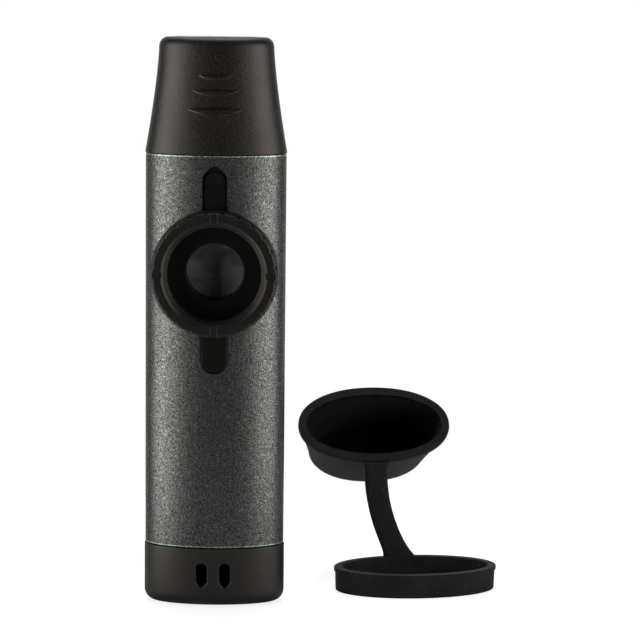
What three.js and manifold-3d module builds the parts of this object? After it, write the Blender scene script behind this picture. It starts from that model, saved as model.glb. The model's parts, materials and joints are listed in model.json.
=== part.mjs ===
// An oval membrane whistle with a screw ring on its front, and its loose rubber dust cap set.
// Millimetres, +Z up. The origin is the middle of the whistle's flat foot, and the front faces -Y.
import * as THREE from 'three';
import { mergeVertices } from 'three/addons/utils/BufferGeometryUtils.js';
import Module from 'manifold-3d';

const wasm = await Module();
wasm.setup();

// Driving dimensions
const CLEARANCE = 0.3; // between neighbouring pieces
const WELD_DISTANCE = 1e-3;
const OVAL_SIDES = 48;
const TURRET_SIDES = 48;
const WHISTLE_HEIGHT = 119.6;

const TUBE = { halfWidth: 14.7, halfDepth: 7.05, wall: 1, bottom: 12.6, top: 95.6 };
const SPIGOT_INSET = TUBE.wall + CLEARANCE; // outer face of both plug-in spigots, from the tube's outside
const BORE_INSET = 3.3; // air channel inside both spigots
const SEAL = { height: 1.4, thickness: 0.7 };

const MOUTHPIECE = {
  baseHalfWidth: 14.84,
  baseHalfDepth: 7.19,
  topHalfWidth: 11.95,
  topHalfDepth: 6.05,
  flare: 1.35, // exponent of the concave flare from top to base
  cornerRadius: 2,
  openingHalfWidth: 8.5,
  openingHalfDepth: 3.3,
  channelFoot: 101, // the breath channel is straight above this and widens below it
  funnelFoot: 94.6,
  spigotBottom: 85.6,
  sealHeight: 90.2,
};
const THUMB_RIBS = [
  { height: 111.9, halfWidth: 3.4, drop: 0.9 },
  { height: 108.8, halfWidth: 4.5, drop: 1.1 },
  { height: 105, halfWidth: 5.6, drop: 1.3 },
];
const RIB_STAND_OFF = 0.45;

const END_CAP = {
  halfWidth: 14.87,
  halfDepth: 7.22,
  footRadius: 2.5,
  floor: 3,
  spigotTop: 21.6,
  sealHeight: 17.3,
};
const CORD_SLOT = { width: 2.25, height: 5.1, spread: 2.45, middle: 6.75 };

const TURRET_HEIGHT = 71;
const BASE = {
  collarRadius: 13.3,
  barrelRadius: 12,
  boreRadius: 11.3,
  neckRadius: 10.3,
  neckBore: 9.6,
  face: 8.4,
  shoulder: 3.5,
  neckEnd: -3.45,
};
const TONGUE = { width: 5, up: 21.9, down: 20.7, back: 6.05, upperFace: 6.6, lowerFace: 6.95 };
const RING = { radius: 13, mouthRadius: 11.1, boreRadius: 9.8, spigotRadius: 11, face: 10.4, back: 8.7 };
const RING_GRIP = { grooves: 24, grooveRadius: 0.38, notchWidth: 1.6, notchDepth: 0.8 };
const RING_SPIGOT_END = 5.9;
const WELL_RADIUS = 6.4;
const INSERT_FLANGE = { front: 4.7, back: 3.8, edge: 0.4 };
const MEMBRANE = { radius: 9.3, face: -0.7, thickness: 0.25 };

const KEEPER = {
  x: 43.3,
  y: 11.3,
  yaw: 7.5,
  halfWidth: 17.4,
  halfDepth: 9.4,
  wall: 1.45,
  height: 5.15,
  lip: 0.4,
  lipThickness: 1,
};
const STRAP = {
  baseX: -2.2,
  baseY: 8.9,
  length: 18.9,
  thickness: 1.6,
  lean: 5,
  sideSweep: 5.3,
  sweepPower: 2.1,
  baseHalfWidth: 2.9,
  topHalfWidth: 2.25,
};
const DUST_CAP = {
  x: -7,
  y: 15.8,
  z: 33.5,
  tilt: 54.5,
  rimHalfWidth: 16.9,
  rimHalfDepth: 9.1,
  mouthHalfWidth: 14.8,
  mouthHalfDepth: 6.9,
  depth: 17.7,
  wall: 1.4,
  rimThickness: 1.3,
  taperWide: 2.9,
  taperDeep: 0.7,
  bottomRound: 4.5,
};

// Materials
const finish = (color, roughness, metalness) => ({ color, roughness, metalness });
const PAINTED_TUBE = finish(0x3a4240, 0.42, 0.7);
const BLACK_PLASTIC = finish(0x1d1a18, 0.5, 0);
const GLOSS_PLASTIC = finish(0x141414, 0.28, 0);
const RUBBER = finish(0x151413, 0.75, 0);
const FILM = finish(0x2b2e2d, 0.45, 0);
const SPRING_STEEL = finish(0x8f9294, 0.35, 1);
const BARE_ALUMINIUM = finish(0xb9bcbf, 0.4, 1);

// Solids

// One ring of an oval piece: half the width, half the depth and the height.
const station = (wide, deep, high) => ({ wide, deep, high });

// A station that lies a set distance inside the tube's outer oval.
const inset = (distance, high) => station(TUBE.halfWidth - distance, TUBE.halfDepth - distance, high);

// Turns a profile of [radius, height] points round the Z axis.
function turned(profile, sides = TURRET_SIDES) {
  const points = profile.map(([radius, high]) => new THREE.Vector2(radius, high));
  return new THREE.LatheGeometry(points, sides).rotateX(Math.PI / 2);
}

// Turns a profile of stations round the Z axis and squeezes each one front to back into its ellipse.
function oval(stations) {
  const geometry = turned(stations.map((s) => [s.wide, s.high]), OVAL_SIDES);
  const place = geometry.attributes.position;
  for (let i = 0; i < place.count; i += 1) {
    const { wide, deep } = stations[i % stations.length];
    place.setY(i, wide === 0 ? 0 : (place.getY(i) * deep) / wide);
  }
  return geometry;
}

// Closes a profile on itself, for a piece with a way through it.
const loop = (profile) => [...profile, profile[0]];

// A washer or sleeve round the Z axis.
function washer(inner, outer, low, high) {
  return turned(loop([[inner, low], [outer, low], [outer, high], [inner, high]]));
}

// A disc or plug round the Z axis.
const disc = (radius, low, high) => turned([[0, low], [radius, low], [radius, high], [0, high]]);

// A flat outline in X and Y, given thickness along +Z from a height.
function plate(outline, low, thickness, curveSegments = 12) {
  const settings = { depth: thickness, bevelEnabled: false, curveSegments };
  return new THREE.ExtrudeGeometry(outline, settings).translate(0, 0, low);
}

// Part of a quarter circle, from straight out to straight up: steps + 1 pairs of cosine and sine.
function quarter(steps) {
  return Array.from({ length: steps + 1 }, (_, i) => {
    const angle = (i / steps) * (Math.PI / 2);
    return [Math.cos(angle), Math.sin(angle)];
  });
}

function toManifold(geometry) {
  const bare = new THREE.BufferGeometry();
  const source = geometry.index ? geometry.toNonIndexed() : geometry;
  bare.setAttribute('position', source.getAttribute('position'));
  const merged = mergeVertices(bare, WELD_DISTANCE);
  const vertProperties = merged.attributes.position.array;
  const triVerts = new Uint32Array(merged.index.array);
  return new wasm.Manifold(new wasm.Mesh({ numProp: 3, vertProperties, triVerts }));
}

function toGeometry(manifold) {
  const result = manifold.getMesh();
  const geometry = new THREE.BufferGeometry();
  geometry.setAttribute('position', new THREE.BufferAttribute(result.vertProperties, 3));
  geometry.setIndex(new THREE.BufferAttribute(result.triVerts, 1));
  geometry.computeVertexNormals();
  return geometry;
}

// Joins the first list of geometries and cuts the second list away.
function sculpt(joined, cut = []) {
  const whole = joined.map(toManifold).reduce((sum, next) => sum.add(next));
  return toGeometry(cut.map(toManifold).reduce((rest, next) => rest.subtract(next), whole));
}

function common(first, second) {
  return toGeometry(toManifold(first).intersect(toManifold(second)));
}

function piece(name, geometry, look, parent) {
  const mesh = new THREE.Mesh(geometry, new THREE.MeshStandardMaterial(look));
  mesh.name = name;
  parent.add(mesh);
  return mesh;
}

const radians = THREE.MathUtils.degToRad;
const mix = THREE.MathUtils.lerp;

// Frames: the whistle's own, the turret's (Z out of the front) and the dust cap set's

const model = new THREE.Group();

const turret = new THREE.Group();
turret.position.set(0, 0, TURRET_HEIGHT);
turret.rotation.x = Math.PI / 2;
model.add(turret);

const capSet = new THREE.Group();
capSet.position.set(KEEPER.x, KEEPER.y, 0);
capSet.rotation.z = radians(KEEPER.yaw);
model.add(capSet);

// Takes a geometry from the whistle's frame into the turret's.
const intoTurret = (geometry) => geometry.translate(0, 0, -TURRET_HEIGHT).rotateX(-Math.PI / 2);

// Takes a geometry from the turret's frame into the whistle's.
const outOfTurret = (geometry) => geometry.rotateX(Math.PI / 2).translate(0, 0, TURRET_HEIGHT);

// A round-ended strip up and down the turret's middle, from one reach to the other.
function tongueOutline(reachUp, reachDown, halfWidth) {
  const outline = new THREE.Shape();
  outline.absarc(0, reachUp - halfWidth, halfWidth, 0, Math.PI, false);
  outline.absarc(0, halfWidth - reachDown, halfWidth, Math.PI, 2 * Math.PI, false);
  return outline;
}

// Tube: an oval drawn aluminium sleeve with a round window and a slot for the turret base's tongues

function tube() {
  const low = TUBE.bottom + CLEARANCE / 2;
  const high = TUBE.top - CLEARANCE / 2;
  const sleeve = oval(loop([inset(0, low), inset(0, high), inset(TUBE.wall, high), inset(TUBE.wall, low)]));
  const window = disc(BASE.barrelRadius + CLEARANCE, 0, TUBE.halfDepth + 1);
  const halfSlot = TONGUE.width / 2 + CLEARANCE;
  const slot = tongueOutline(TONGUE.up + CLEARANCE, TONGUE.down + CLEARANCE, halfSlot);
  return sculpt([sleeve], [outOfTurret(window), outOfTurret(plate(slot, 0, TUBE.halfDepth + 1))]);
}

piece('body_tube', tube(), PAINTED_TUBE, model);

// Mouthpiece: a flared plastic plug with a rounded lip, an oval breath channel and three thumb ribs

// The mouthpiece's outer oval at a height, with an optional stand-off.
function mouthpieceStation(high, standOff = 0) {
  const { baseHalfWidth, baseHalfDepth, topHalfWidth, topHalfDepth, flare, cornerRadius } = MOUTHPIECE;
  const shoulder = WHISTLE_HEIGHT - cornerRadius;
  const down = Math.max(0, (shoulder - high) / (shoulder - TUBE.top)) ** flare;
  const wide = mix(topHalfWidth, baseHalfWidth, down) + standOff;
  const deep = mix(topHalfDepth, baseHalfDepth, down) + standOff;
  return station(wide, deep, high);
}

function mouthpieceWall(standOff) {
  const low = TUBE.top + CLEARANCE / 2;
  const high = WHISTLE_HEIGHT - MOUTHPIECE.cornerRadius;
  const rows = 5;
  return Array.from({ length: rows + 1 }, (_, i) => mouthpieceStation(mix(low, high, i / rows), standOff));
}

// The lip turns over in a quarter ellipse, then a small round leads into the opening.
function mouthpieceLip() {
  const { topHalfWidth, topHalfDepth, openingHalfWidth, openingHalfDepth, cornerRadius } = MOUTHPIECE;
  const outerShare = 0.55;
  const innerShare = 0.15;
  const innerDrop = 0.8;
  const across = (share, high) => station(
    mix(topHalfWidth, openingHalfWidth, share),
    mix(topHalfDepth, openingHalfDepth, share),
    high,
  );
  const outer = quarter(4).slice(1).map(([c, s]) => across(
    outerShare * (1 - c),
    WHISTLE_HEIGHT - cornerRadius * (1 - s),
  ));
  const inner = quarter(2).reverse().map(([c, s]) => across(
    1 - innerShare * (1 - c),
    WHISTLE_HEIGHT - innerDrop * (1 - s),
  ));
  return [...outer, ...inner];
}

function sealGroove(middle) {
  const reach = SEAL.height / 2 + CLEARANCE;
  const bottomInset = SPIGOT_INSET + SEAL.thickness + CLEARANCE;
  return [
    inset(SPIGOT_INSET, middle - reach),
    inset(bottomInset, middle - reach),
    inset(bottomInset, middle + reach),
    inset(SPIGOT_INSET, middle + reach),
  ];
}

// A slab from inside the mouthpiece's wall, clear of its channel, out to a skin just outside the wall.
function thumbRib({ height, halfWidth, drop }) {
  const root = MOUTHPIECE.topHalfDepth - 1;
  const reach = 4;
  const arcSteps = 8;
  const outline = new THREE.Shape();
  outline.moveTo(halfWidth, height);
  outline.lineTo(-halfWidth, height);
  outline.quadraticCurveTo(0, height - 2 * drop, halfWidth, height);
  const slab = plate(outline, root, reach, arcSteps).rotateX(Math.PI / 2);
  const skin = oval([
    station(0, 0, TUBE.top),
    ...mouthpieceWall(RIB_STAND_OFF),
    station(0, 0, WHISTLE_HEIGHT - MOUTHPIECE.cornerRadius),
  ]);
  return common(slab, skin);
}

function mouthpiece() {
  const { openingHalfWidth, openingHalfDepth } = MOUTHPIECE;
  const { channelFoot, funnelFoot, spigotBottom, sealHeight } = MOUTHPIECE;
  const shell = oval(loop([
    inset(SPIGOT_INSET, spigotBottom),
    ...sealGroove(sealHeight),
    inset(SPIGOT_INSET, TUBE.top + CLEARANCE / 2),
    ...mouthpieceWall(0),
    ...mouthpieceLip(),
    station(openingHalfWidth, openingHalfDepth, channelFoot),
    inset(BORE_INSET, funnelFoot),
    inset(BORE_INSET, spigotBottom),
  ]));
  return sculpt([shell, ...THUMB_RIBS.map(thumbRib)]);
}

piece('mouthpiece', mouthpiece(), BLACK_PLASTIC, model);

// End cap: a closed foot with a round lower edge, two cord slots in its front and a spigot

function cordSlot(side) {
  const { width, height, spread, middle } = CORD_SLOT;
  const half = width / 2;
  const outline = new THREE.Shape();
  outline.absarc(0, height / 2 - half, half, 0, Math.PI, false);
  outline.lineTo(-half, half - height / 2);
  outline.lineTo(0, -height / 2);
  outline.lineTo(half, half - height / 2);
  const start = 2; // inside the air space
  const through = 6;
  const arcSteps = 6;
  return plate(outline, start, through, arcSteps).rotateX(Math.PI / 2).translate(side * spread, 0, middle);
}

function endCap() {
  const { halfWidth, halfDepth, footRadius, floor, spigotTop, sealHeight } = END_CAP;
  const foot = quarter(4).reverse().map(([c, s]) => station(
    halfWidth - footRadius * (1 - c),
    halfDepth - footRadius * (1 - c),
    footRadius * (1 - s),
  ));
  const seam = TUBE.bottom - CLEARANCE / 2;
  const shell = oval([
    station(0, 0, 0),
    ...foot,
    station(halfWidth, halfDepth, seam),
    inset(SPIGOT_INSET, seam),
    ...sealGroove(sealHeight),
    inset(SPIGOT_INSET, spigotTop),
    inset(BORE_INSET, spigotTop),
    inset(BORE_INSET, floor),
    station(0, 0, floor),
  ]);
  return sculpt([shell], [cordSlot(-1), cordSlot(1)]);
}

piece('end_cap', endCap(), BLACK_PLASTIC, model);

// Seals: a flat rubber band in the groove of each spigot

function seal(middle) {
  const low = middle - SEAL.height / 2;
  const high = middle + SEAL.height / 2;
  const outer = SPIGOT_INSET;
  const inner = SPIGOT_INSET + SEAL.thickness;
  return oval(loop([inset(outer, low), inset(outer, high), inset(inner, high), inset(inner, low)]));
}

piece('mouthpiece_seal', seal(MOUTHPIECE.sealHeight), RUBBER, model);
piece('end_cap_seal', seal(END_CAP.sealHeight), RUBBER, model);

// Turret base: a saddle collar on the tube, a stepped barrel through its window and two flat tongues

function turretBase() {
  const { collarRadius, barrelRadius, boreRadius, neckRadius, neckBore, face, shoulder, neckEnd } = BASE;
  const shelf = 0.6;
  const shelfBore = 7.6;
  const barrelFoot = shoulder - 0.7;
  const collarFoot = 2; // well under the tube's surface, where the tube's own shape cuts it
  const overlap = 0.2;
  const seatBore = barrelRadius + 0.1; // counterbore for the O-ring under the screw ring
  const seatDepth = 1;
  const envelope = oval([
    station(0, 0, 0),
    inset(-CLEARANCE, 0),
    inset(-CLEARANCE, WHISTLE_HEIGHT),
    station(0, 0, WHISTLE_HEIGHT),
  ]);
  const collar = sculpt([washer(boreRadius, collarRadius, collarFoot, face)], [intoTurret(envelope)]);
  const barrel = turned(loop([
    [shelfBore, neckEnd],
    [neckRadius, neckEnd],
    [neckRadius, barrelFoot],
    [barrelRadius, barrelFoot],
    [barrelRadius, face],
    [boreRadius, face],
    [boreRadius, shoulder],
    [neckBore, shoulder],
    [neckBore, neckEnd + shelf],
    [shelfBore, neckEnd + shelf],
  ]));
  const tongue = (up, down, front) => sculpt(
    [plate(tongueOutline(up, down, TONGUE.width / 2), TONGUE.back, front - TONGUE.back)],
    [disc(barrelRadius - overlap, 0, face)],
  );
  const upper = tongue(TONGUE.up, -TONGUE.width, TONGUE.upperFace);
  const lower = tongue(-TONGUE.width, TONGUE.down, TONGUE.lowerFace);
  return sculpt([collar, barrel, upper, lower], [disc(seatBore, face - seatDepth, face + 1)]);
}

piece('turret_base', turretBase(), BLACK_PLASTIC, turret);

// Base clip: a split spring ring that holds the turret base from inside the tube

function baseClip() {
  const inner = BASE.neckRadius + CLEARANCE;
  const outer = BASE.barrelRadius + 0.4;
  const back = 0.9;
  const thickness = 1;
  const arcSteps = 40;
  const halfSplit = radians(14);
  const outline = new THREE.Shape();
  outline.absarc(0, 0, outer, halfSplit, 2 * Math.PI - halfSplit, false);
  outline.absarc(0, 0, inner, 2 * Math.PI - halfSplit, halfSplit, true);
  return plate(outline, back, thickness, arcSteps);
}

piece('base_clip', baseClip(), SPRING_STEEL, turret);

// Membrane stack: gasket, hoop and film, laid on the base's inner shelf

const hoopInner = 8;
const hoopThickness = 0.7;
const gasketThickness = 0.3;
const filmBack = MEMBRANE.face - MEMBRANE.thickness;
const hoopFront = filmBack - CLEARANCE;
const hoopBack = hoopFront - hoopThickness;
const gasketFront = hoopBack - CLEARANCE;
const gasketBack = gasketFront - gasketThickness;

piece('membrane', disc(MEMBRANE.radius, filmBack, MEMBRANE.face), FILM, turret);
piece('membrane_hoop', washer(hoopInner, MEMBRANE.radius, hoopBack, hoopFront), BARE_ALUMINIUM, turret);
piece('seat_gasket', washer(hoopInner, MEMBRANE.radius, gasketBack, gasketFront), RUBBER, turret);

// Clamp insert: a flanged sleeve whose end presses on the film, and the washer the screw ring turns on

function clampInsert() {
  const { front, back, edge } = INSERT_FLANGE;
  return turned(loop([
    [WELL_RADIUS, MEMBRANE.face + CLEARANCE],
    [WELL_RADIUS + 1, MEMBRANE.face + CLEARANCE],
    [WELL_RADIUS + 1, back],
    [RING.spigotRadius, back],
    [RING.spigotRadius, front],
    [WELL_RADIUS + edge, front],
    [WELL_RADIUS, front - edge],
  ]));
}

function slipWasher() {
  const inner = RING.boreRadius + 0.05;
  return washer(inner, RING.spigotRadius, INSERT_FLANGE.front + CLEARANCE, RING_SPIGOT_END - CLEARANCE);
}

piece('clamp_insert', clampInsert(), BLACK_PLASTIC, turret);
piece('slip_washer', slipWasher(), GLOSS_PLASTIC, turret);

// Screw ring: a chamfered ring with a grooved edge, four tool notches and a spigot in the base's bore

function screwRing() {
  const { radius, mouthRadius, boreRadius, spigotRadius, face, back } = RING;
  const backEdge = 0.3;
  const faceEdge = 0.5;
  const mouthDrop = 1.6;
  const blank = turned(loop([
    [boreRadius, RING_SPIGOT_END],
    [spigotRadius, RING_SPIGOT_END],
    [spigotRadius, back],
    [radius - backEdge, back],
    [radius, back + backEdge],
    [radius, face - faceEdge],
    [radius - faceEdge, face],
    [mouthRadius, face],
    [boreRadius, face - mouthDrop],
  ]));
  const { grooves, grooveRadius, notchWidth, notchDepth } = RING_GRIP;
  const pitch = (2 * Math.PI) / grooves;
  const groove = new THREE.CylinderGeometry(grooveRadius, grooveRadius, 2 * (face - back), 6)
    .rotateX(Math.PI / 2)
    .translate(radius + 0.1, 0, face);
  const cutters = Array.from({ length: grooves }, (_, i) => groove.clone().rotateZ((i + 0.5) * pitch));
  const overshoot = 0.4;
  const notch = new THREE.BoxGeometry(radius - boreRadius + overshoot, notchWidth, 2 * notchDepth)
    .translate((radius + boreRadius + overshoot) / 2, 0, face);
  const notches = [0, 1, 2, 3].map((i) => notch.clone().rotateZ(i * (Math.PI / 2)));
  return sculpt([blank], [...cutters, ...notches]);
}

// The O-ring that gives the screw ring its friction, in the base's counterbore.
function ringSeal() {
  const thickness = 0.5;
  const height = 0.6;
  const front = RING.back - 0.35;
  return washer(BASE.boreRadius, BASE.boreRadius + thickness, front - height, front);
}

piece('screw_ring', screwRing(), GLOSS_PLASTIC, turret);
piece('ring_o_ring', ringSeal(), RUBBER, turret);

// Keeper ring: a low rubber hoop that fits round the tube, with a thin lip

function keeperRing() {
  const { halfWidth, halfDepth, wall, height, lip, lipThickness } = KEEPER;
  const at = (grow, high) => station(halfWidth + grow, halfDepth + grow, high);
  return oval(loop([
    at(0, 0),
    at(0, height - lipThickness),
    at(lip, height - lipThickness),
    at(lip, height),
    at(-wall, height),
    at(-wall, 0),
  ]));
}

piece('keeper_ring', keeperRing(), RUBBER, capSet);

// Strap: a flat rubber band that rises from the keeper ring and sweeps sideways to the dust cap's rim

const strapFrame = new THREE.Group();
strapFrame.position.set(STRAP.baseX, STRAP.baseY, KEEPER.height + CLEARANCE);
strapFrame.rotation.x = -radians(STRAP.lean);
capSet.add(strapFrame);

// The strap's edge at a share of its height, on the left (-1) or the right (1).
function strapEdge(share, side) {
  const middle = -STRAP.sideSweep * (1 - (1 - share) ** STRAP.sweepPower);
  const half = mix(STRAP.baseHalfWidth, STRAP.topHalfWidth, share);
  return new THREE.Vector2(middle + side * half, share * STRAP.length);
}

function strapStretch(from, to) {
  const steps = 6;
  const shares = Array.from({ length: steps + 1 }, (_, i) => mix(from, to, i / steps));
  const right = shares.map((share) => strapEdge(share, 1));
  const left = shares.reverse().map((share) => strapEdge(share, -1));
  const outline = new THREE.Shape([...right, ...left]);
  return plate(outline, -STRAP.thickness / 2, STRAP.thickness).rotateX(Math.PI / 2);
}

const halfGap = CLEARANCE / 2 / STRAP.length;
piece('strap_lower', strapStretch(0, 0.5 - halfGap), RUBBER, strapFrame);
piece('strap_upper', strapStretch(0.5 + halfGap, 1), RUBBER, strapFrame);

// Dust cap: a deep rubber cup with a flat rim, which covers the mouthpiece in a pocket

// The round at the bottom of the cup, from its flat end to its wall, drawn in by a set distance.
function capRound(drawIn) {
  const { mouthHalfWidth, mouthHalfDepth, depth, wall, taperWide, taperDeep, bottomRound } = DUST_CAP;
  const radius = bottomRound - drawIn;
  const squeeze = 0.8; // the round is this much tighter front to back
  return quarter(4).reverse().map(([c, s]) => station(
    mouthHalfWidth + wall - taperWide - drawIn - radius * (1 - c),
    mouthHalfDepth + wall - taperDeep - drawIn - squeeze * radius * (1 - c),
    drawIn - depth + radius * (1 - s),
  ));
}

function dustCap() {
  const { rimHalfWidth, rimHalfDepth, mouthHalfWidth, mouthHalfDepth, depth, wall, rimThickness } = DUST_CAP;
  return oval([
    station(0, 0, -depth),
    ...capRound(0),
    station(mouthHalfWidth + wall, mouthHalfDepth + wall, -rimThickness),
    station(rimHalfWidth, rimHalfDepth, -rimThickness),
    station(rimHalfWidth, rimHalfDepth, 0),
    station(mouthHalfWidth, mouthHalfDepth, 0),
    ...capRound(wall).reverse(),
    station(0, 0, wall - depth),
  ]);
}

const capFrame = new THREE.Group();
capFrame.position.set(DUST_CAP.x, DUST_CAP.y, DUST_CAP.z);
capFrame.rotation.x = radians(DUST_CAP.tilt);
capSet.add(capFrame);
piece('dust_cap', dustCap(), RUBBER, capFrame);

export default model;
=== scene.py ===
import json
import math

import bmesh
import bpy
import numpy as np
from bpy.props import FloatProperty, FloatVectorProperty, IntProperty, PointerProperty
from mathutils import Matrix, Vector


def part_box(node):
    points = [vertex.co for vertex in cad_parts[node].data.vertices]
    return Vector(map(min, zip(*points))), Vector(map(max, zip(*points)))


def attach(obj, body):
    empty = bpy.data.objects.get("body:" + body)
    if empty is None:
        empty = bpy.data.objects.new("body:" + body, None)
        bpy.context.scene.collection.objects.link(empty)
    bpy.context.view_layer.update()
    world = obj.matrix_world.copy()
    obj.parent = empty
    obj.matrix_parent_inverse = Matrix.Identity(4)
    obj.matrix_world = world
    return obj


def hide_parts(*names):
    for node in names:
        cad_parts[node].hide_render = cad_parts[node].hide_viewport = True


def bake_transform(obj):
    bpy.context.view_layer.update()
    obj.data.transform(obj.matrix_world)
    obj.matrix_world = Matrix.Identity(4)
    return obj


bl_info = {
    "name": "Membrane Whistle",
    "version": (1, 0, 0),
    "blender": (4, 5, 0),
    "location": "View3D > Sidebar > Whistle",
    "description": "Builds the finished surfaces of an oval membrane whistle and its rubber dust cap set",
    "category": "Object",
}

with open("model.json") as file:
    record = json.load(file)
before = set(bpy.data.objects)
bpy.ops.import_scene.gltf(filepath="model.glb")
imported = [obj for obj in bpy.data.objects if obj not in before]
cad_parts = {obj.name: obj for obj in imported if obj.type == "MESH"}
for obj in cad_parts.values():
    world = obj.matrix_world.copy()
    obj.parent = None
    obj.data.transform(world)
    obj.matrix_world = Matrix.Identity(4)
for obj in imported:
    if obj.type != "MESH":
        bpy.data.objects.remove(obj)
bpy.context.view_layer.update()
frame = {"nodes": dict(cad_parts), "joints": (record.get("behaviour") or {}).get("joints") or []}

MM = 0.001
TAU = 2 * math.pi


# ---------------------------------------------------------------------------
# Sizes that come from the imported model
# ---------------------------------------------------------------------------


def half_size(node):
    """Half the width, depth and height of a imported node, in metres."""
    low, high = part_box(node)
    return (high - low) / 2


def middle_of(node):
    """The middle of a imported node's box."""
    low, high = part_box(node)
    return (high + low) / 2


def joint(name):
    """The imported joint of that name."""
    return next(j for j in frame["joints"] if j["name"] == name)


TUBE_LOW, TUBE_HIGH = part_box("body_tube")
TUBE_WIDE, TUBE_DEEP = TUBE_HIGH.x, TUBE_HIGH.y
WALL = 1.0 * MM
BORE_INSET = 3.3 * MM  # from the tube's outer oval to the air way
SPIGOT_INSET = WALL + 0.3 * MM
SEAM = 0.2 * MM  # gap between the tube and each plug-in end
WHISTLE_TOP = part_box("mouthpiece")[1].z
TURRET_Z = middle_of("screw_ring").z
RING_FACE = -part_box("screw_ring")[0].y
RING_RADIUS = half_size("screw_ring").x
WELL_RADIUS = 6.05 * MM
FILM_FACE = -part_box("membrane")[0].y
SET_CENTRE = Vector((*middle_of("keeper_ring").xy, 0))
SET_YAW = math.atan2(joint("strap_bend")["axis"][1], joint("strap_bend")["axis"][0])


# ---------------------------------------------------------------------------
# Settings that a user would change
# ---------------------------------------------------------------------------


class WhistleShape(bpy.types.PropertyGroup):
    """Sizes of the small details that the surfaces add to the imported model."""

    sides: IntProperty(name="Sides", description="Columns round each oval piece", default=240, min=48)
    edge_round: FloatProperty(
        name="Edge Round", description="Radius of the broken edges", default=0.16 * MM, unit="LENGTH"
    )
    rib_rise: FloatProperty(
        name="Rib Rise", description="How far each thumb rib stands out", default=0.42 * MM, unit="LENGTH"
    )
    grooves: IntProperty(name="Grooves", description="Grip grooves round the screw ring", default=24, min=0)
    groove_depth: FloatProperty(
        name="Groove Depth", description="Depth of each grip groove", default=0.3 * MM, unit="LENGTH"
    )
    film_wrinkle: FloatProperty(
        name="Film Wrinkle", description="Height of the membrane's folds", default=0.06 * MM, unit="LENGTH"
    )


class WhistleColours(bpy.types.PropertyGroup):
    """Base colours of the finishes."""

    paint: FloatVectorProperty(
        name="Paint", description="Ground coat of the tube", subtype="COLOR",
        default=(0.010, 0.0106, 0.0098),
    )
    flake: FloatVectorProperty(
        name="Flake", description="Metal flake in the paint", subtype="COLOR",
        default=(0.19, 0.197, 0.183),
    )
    plastic: FloatVectorProperty(
        name="Plastic", description="Mouthpiece and end cap", subtype="COLOR",
        default=(0.0065, 0.0055, 0.0045),
    )
    ring: FloatVectorProperty(
        name="Ring", description="Screw ring and turret", subtype="COLOR",
        default=(0.0050, 0.0048, 0.0042),
    )
    rubber: FloatVectorProperty(
        name="Rubber", description="Dust cap set and seals", subtype="COLOR",
        default=(0.0060, 0.0058, 0.0052),
    )
    # The film's pale tone is partly painted light: it stands in for the light from the front that reaches the
    # membrane down its well.
    film: FloatVectorProperty(
        name="Film", description="Membrane", subtype="COLOR", default=(0.17, 0.168, 0.163)
    )


class WhistleStudio(bpy.types.PropertyGroup):
    """Light and camera."""

    left_power: FloatProperty(
        name="Left Light", description="Power of the left softbox", default=5.2, unit="POWER"
    )
    right_power: FloatProperty(
        name="Right Light", description="Power of the right softbox", default=4.4, unit="POWER"
    )
    top_power: FloatProperty(
        name="Top Light", description="Power of the overhead light", default=1.6, unit="POWER"
    )
    surround: FloatProperty(
        name="Surround", description="Brightness of the room as the object reflects it",
        default=0.02, min=0,
    )
    backdrop: FloatProperty(
        name="Backdrop", description="Brightness of the backdrop as the object reflects it",
        default=0.6, min=0,
    )
    camera_height: FloatProperty(
        name="Camera Elevation", description="Angle of the view above the horizon",
        default=math.radians(8.34), subtype="ANGLE",
    )
    camera_roll: FloatProperty(
        name="Camera Roll", description="Turn of the camera about its view",
        default=math.radians(0.617), subtype="ANGLE",
    )
    camera_distance: FloatProperty(
        name="Camera Distance", description="From the camera to its aim", default=0.55375, unit="LENGTH"
    )
    lens: FloatProperty(name="Lens", description="Focal length in millimetres", default=147.94)


# ---------------------------------------------------------------------------
# Shader building
# ---------------------------------------------------------------------------


class Wire:
    """A socket with arithmetic: an expression on wires adds Math nodes to the finish's tree."""

    def __init__(self, nodes, socket):
        self.nodes = nodes
        self.socket = socket

    def math(self, operation, *values, clamp=False):
        settings = {"operation": operation, "use_clamp": clamp}
        return self.nodes.node("ShaderNodeMath", settings, dict(enumerate(values)))

    def __add__(self, other):
        return self.math("ADD", self, other)

    __radd__ = __add__

    def __sub__(self, other):
        return self.math("SUBTRACT", self, other)

    def __rsub__(self, other):
        return self.math("SUBTRACT", other, self)

    def __mul__(self, other):
        return self.math("MULTIPLY", self, other)

    __rmul__ = __mul__

    def above(self, low, high):
        """0 where the wire is under low, 1 where it is over high, and a straight ramp between."""
        return self.math("MULTIPLY", self - low, 1 / (high - low), clamp=True)


MIX_SHARE = 0
MIX_COLOURS, MIX_COLOUR_OUT = (6, 7), 2  # a Mix node's colour sockets, by number
MIX_FLOATS, MIX_FLOAT_OUT = (2, 3), 0


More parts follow.
